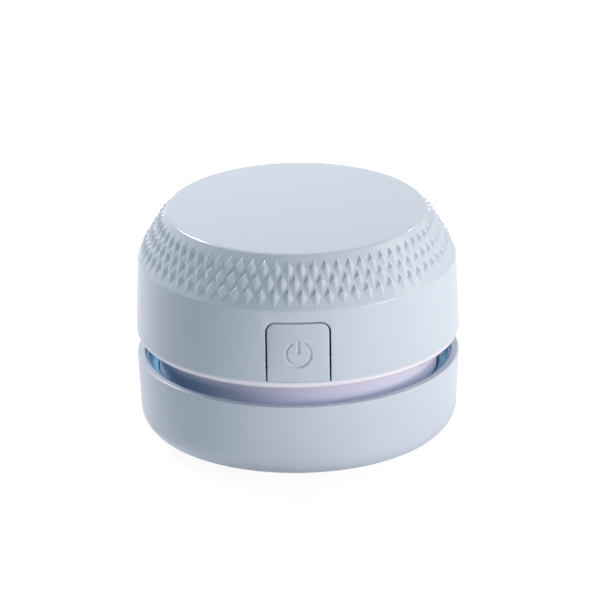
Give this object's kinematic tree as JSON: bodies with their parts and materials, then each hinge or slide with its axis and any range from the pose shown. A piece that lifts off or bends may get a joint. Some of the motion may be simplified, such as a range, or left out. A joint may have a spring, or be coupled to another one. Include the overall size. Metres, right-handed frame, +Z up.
{
  "type": "desktop mini vacuum cleaner",
  "caption": "Small round desktop vacuum cleaner with a knurled shoulder, a power button in its side, a ring-shaped air gap, and a dust cup with brush, filter and bayonet lock.",
  "frame": {"origin": "on the table, under the middle of the round body (the middle of the lower face of its bounding box)", "axes": "+Z up; -Y towards the front with the power button; +Y towards the back with the charging port; +X to the right of someone who looks at the button"},
  "size_m": [0.085, 0.085, 0.063],
  "materials": {
    "shell_plastic": "satin pale blue-white",
    "neck_plastic": "satin lavender grey",
    "collar_plastic": "satin blue",
    "inner_plastic": "moulded",
    "filter_fleece": "pleated fleece",
    "soft_rubber": "matt",
    "brush_plastic": "moulded",
    "bristles": "nylon bristles",
    "plated_steel": "plated",
    "terminal_brass": "tinned edge",
    "battery_wrap": "foil wrap",
    "foam_tape": "foam",
    "board_laminate": "solder mask",
    "black_plastic": "moulded"
  },
  "bodies": {
    "cup": {"dust_cup": "shell_plastic", "locking_collar": "collar_plastic", "inlet_guard": "collar_plastic", "brush_carrier": "brush_plastic", "brush_tufts": "bristles", "glide_pad_1": "soft_rubber", "glide_pad_2": "soft_rubber", "glide_pad_3": "soft_rubber", "glide_pad_4": "soft_rubber"},
    "filter": {"filter_frame": "inner_plastic", "filter_pad": "filter_fleece", "seal_ring": "soft_rubber"},
    "motor_unit": {"top_shell": "shell_plastic", "chassis": "neck_plastic", "fan_shroud": "inner_plastic", "motor_can": "plated_steel", "motor_end_cap": "inner_plastic", "motor_terminal_1": "terminal_brass", "motor_terminal_2": "terminal_brass", "motor_screw_1": "plated_steel", "motor_screw_2": "plated_steel", "deck_screw_1": "plated_steel", "deck_screw_2": "plated_steel", "deck_screw_3": "plated_steel", "deck_screw_4": "plated_steel", "board_screw_1": "plated_steel", "board_screw_2": "plated_steel", "board_screw_3": "plated_steel", "board_screw_4": "plated_steel", "battery_cell": "battery_wrap", "battery_tape": "foam_tape", "circuit_board": "board_laminate", "tact_switch": "black_plastic", "hinge_pin": "plated_steel", "port_shell": "plated_steel", "port_tongue": "black_plastic"},
    "rotor": {"impeller": "inner_plastic", "rotor_shaft": "plated_steel"},
    "button": {"button_flap": "shell_plastic"},
    "plunger": {"tact_plunger": "brush_plastic"}
  },
  "joints": [
    {"name": "lift_off", "type": "slide", "parent": "cup", "child": "filter", "axis": [0, 0, 1], "range_m": [0, 0.03]},
    {"name": "lock_twist", "type": "hinge", "parent": "filter", "child": "motor_unit", "pos_m": [0, 0, 0.0133], "axis": [0, 0, -1], "range_deg": [0, 20]},
    {"name": "fan_spin", "type": "hinge", "parent": "motor_unit", "child": "rotor", "pos_m": [0, 0, 0.0249], "axis": [0, 0, 1], "continuous": true},
    {"name": "button_press", "type": "hinge", "parent": "motor_unit", "child": "button", "pos_m": [0, -0.0369, 0.034], "axis": [-1, 0, 0], "range_deg": [0, 2.2], "stiffness_Nm_per_rad": 0.05, "springref_deg": -2.86},
    {"name": "plunger_press", "type": "slide", "parent": "motor_unit", "child": "plunger", "axis": [0, 1, 0], "range_m": [0, 0.0003]}
  ],
  "couplings": [
    {"joint": "plunger_press", "follows": "button_press", "m_per_rad": 0.0077}
  ]
}
